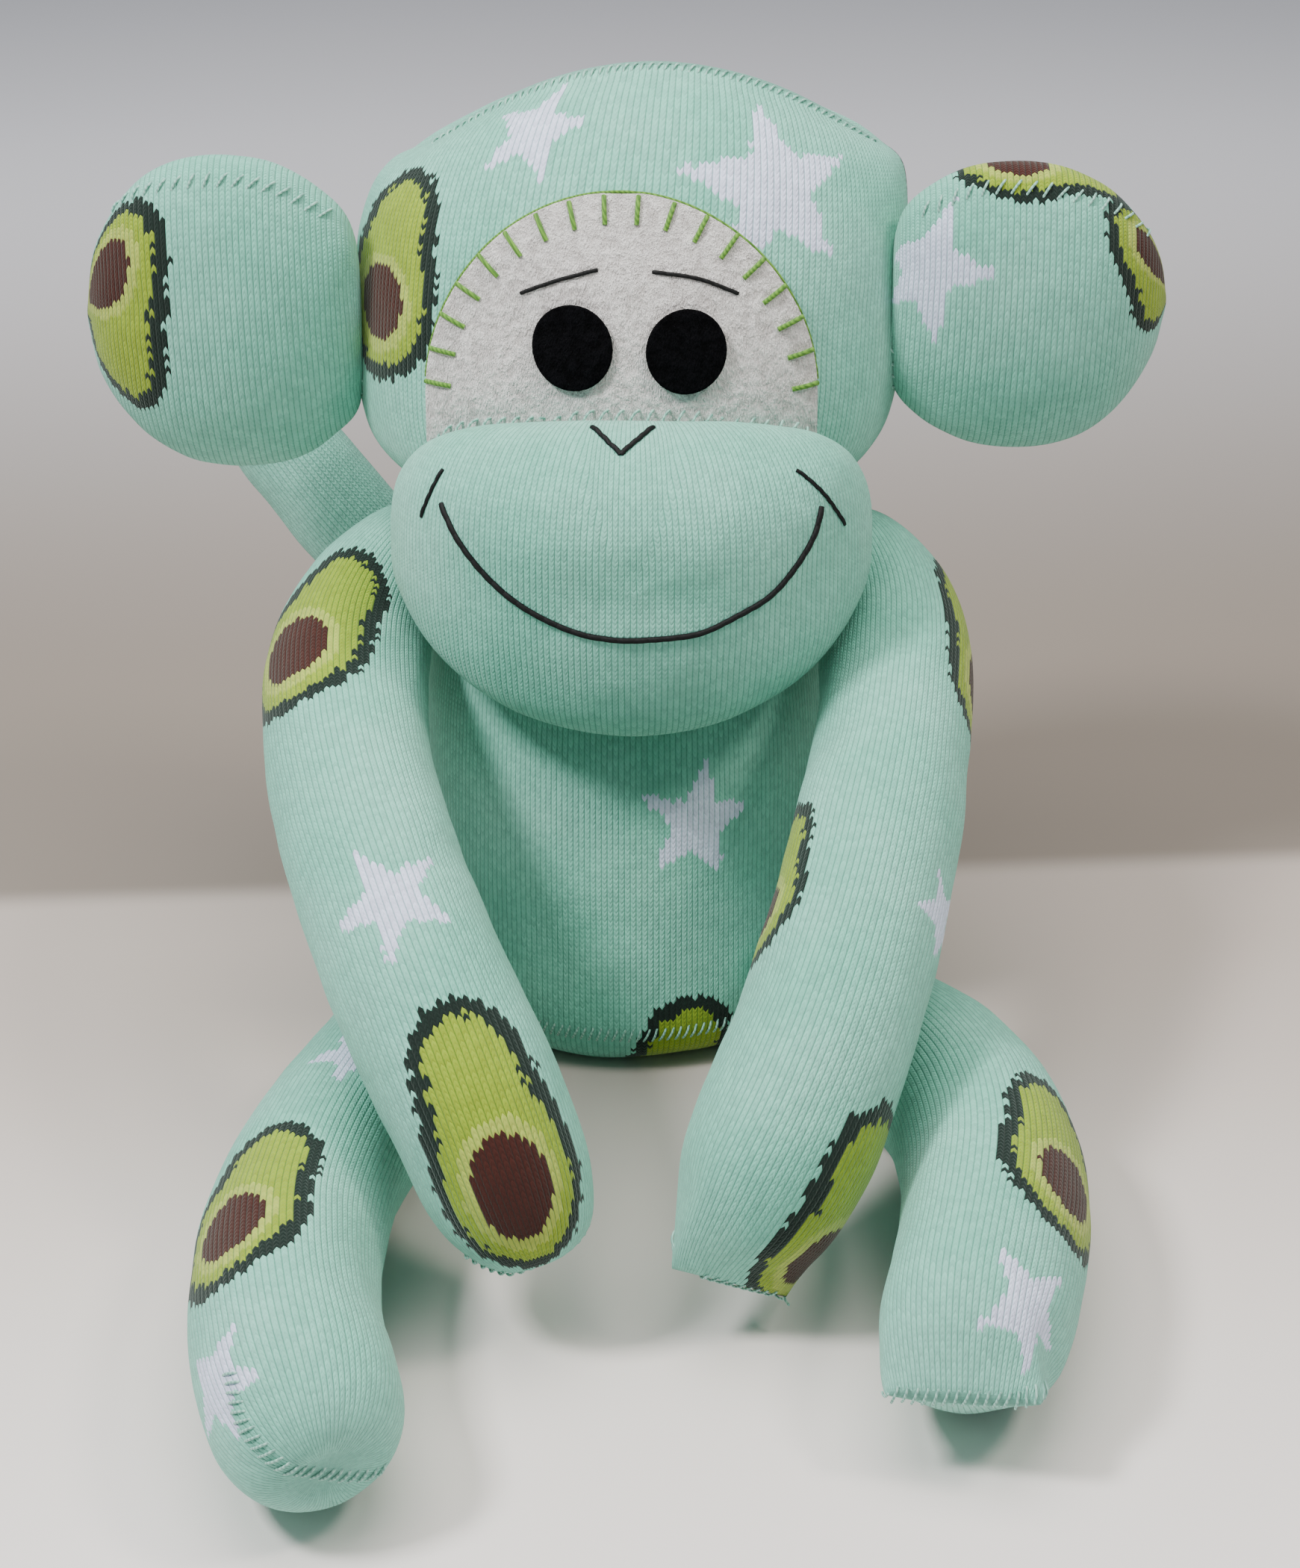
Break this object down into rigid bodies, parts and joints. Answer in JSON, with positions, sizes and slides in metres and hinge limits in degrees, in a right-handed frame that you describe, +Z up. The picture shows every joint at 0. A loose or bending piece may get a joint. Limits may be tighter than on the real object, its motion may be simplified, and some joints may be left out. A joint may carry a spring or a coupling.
{
  "type": "stuffed sock monkey",
  "caption": "Seated stuffed monkey sewn from patterned mint sock knit, with a felt face patch, round felt eyes, a padded muzzle and limbs that turn where they are sewn on.",
  "frame": {"origin": "centre of the flat patch that the toy sits on", "axes": "+Z up, the toy faces -Y, and its own left side is towards +X"},
  "size_m": [0.2244, 0.2626, 0.1977],
  "materials": {
    "mint_knit": "brushed cotton stockinette",
    "polyester_fill": "loose fibre",
    "white_felt": "pressed felt",
    "black_felt": "pressed felt",
    "mint_thread": "spun thread",
    "black_thread": "embroidery thread",
    "green_thread": "embroidery thread"
  },
  "bodies": {
    "torso": {"torso_cover": "mint_knit", "torso_stuffing": "polyester_fill", "base_seam": "mint_thread", "neck_thread": "mint_thread", "left_shoulder_stitch": "mint_thread", "right_shoulder_stitch": "mint_thread", "left_hip_stitch": "mint_thread", "right_hip_stitch": "mint_thread", "tail_root_stitch": "mint_thread"},
    "head": {"head_cover": "mint_knit", "head_stuffing": "polyester_fill", "crown_seam": "mint_thread", "face_patch": "white_felt", "patch_stitch": "green_thread", "left_eye": "black_felt", "right_eye": "black_felt", "left_brow": "black_thread", "right_brow": "black_thread", "nose_stitch": "black_thread", "muzzle_cover": "mint_knit", "muzzle_stuffing": "polyester_fill", "muzzle_seam": "mint_thread", "mouth_stitch": "black_thread", "left_cheek_stitch": "black_thread", "right_cheek_stitch": "black_thread", "left_ear_root_stitch": "mint_thread", "right_ear_root_stitch": "mint_thread"},
    "tail": {"tail_cover": "mint_knit", "tail_stuffing": "polyester_fill", "tail_tip_seam": "mint_thread"},
    "left_ear": {"left_ear_cover": "mint_knit", "left_ear_stuffing": "polyester_fill", "left_ear_seam": "mint_thread"},
    "left_arm": {"left_arm_cover": "mint_knit", "left_arm_stuffing": "polyester_fill", "left_hand_seam": "mint_thread"},
    "left_leg": {"left_leg_cover": "mint_knit", "left_leg_stuffing": "polyester_fill", "left_toe_seam": "mint_thread"},
    "right_ear": {"right_ear_cover": "mint_knit", "right_ear_stuffing": "polyester_fill", "right_ear_seam": "mint_thread"},
    "right_arm": {"right_arm_cover": "mint_knit", "right_arm_stuffing": "polyester_fill", "right_hand_seam": "mint_thread"},
    "right_leg": {"right_leg_cover": "mint_knit", "right_leg_stuffing": "polyester_fill", "right_toe_seam": "mint_thread"}
  },
  "joints": [
    {"name": "head_nod", "type": "hinge", "parent": "torso", "child": "head", "pos_m": [0, 0.019, 0.1045], "axis": [-1, 0, 0], "range_deg": [0, 18]},
    {"name": "left_ear_fold", "type": "hinge", "parent": "head", "child": "left_ear", "pos_m": [0.06, 0.017, 0.1475], "axis": [0, 0, 1], "range_deg": [-12, 24]},
    {"name": "right_ear_fold", "type": "hinge", "parent": "head", "child": "right_ear", "pos_m": [-0.06, 0.017, 0.1453], "axis": [0, 0, -1], "range_deg": [-12, 24]},
    {"name": "left_arm_lift", "type": "hinge", "parent": "torso", "child": "left_arm", "pos_m": [0.047, 0.012, 0.097], "axis": [-0.7998, 0.2999, 0.5199], "range_deg": [0, 90]},
    {"name": "right_arm_lift", "type": "hinge", "parent": "torso", "child": "right_arm", "pos_m": [-0.047, 0.012, 0.097], "axis": [-0.7998, -0.2999, -0.5199], "range_deg": [0, 90]},
    {"name": "left_leg_spread", "type": "hinge", "parent": "torso", "child": "left_leg", "pos_m": [0.0385, -0.0455, 0.0185], "axis": [0, 0, 1], "range_deg": [0, 35]},
    {"name": "right_leg_spread", "type": "hinge", "parent": "torso", "child": "right_leg", "pos_m": [-0.038, -0.046, 0.0185], "axis": [0, 0, -1], "range_deg": [0, 35]},
    {"name": "tail_wag", "type": "hinge", "parent": "torso", "child": "tail", "pos_m": [-0.004, 0.056, 0.022], "axis": [0, 0, -1], "range_deg": [0, 140]}
  ]
}
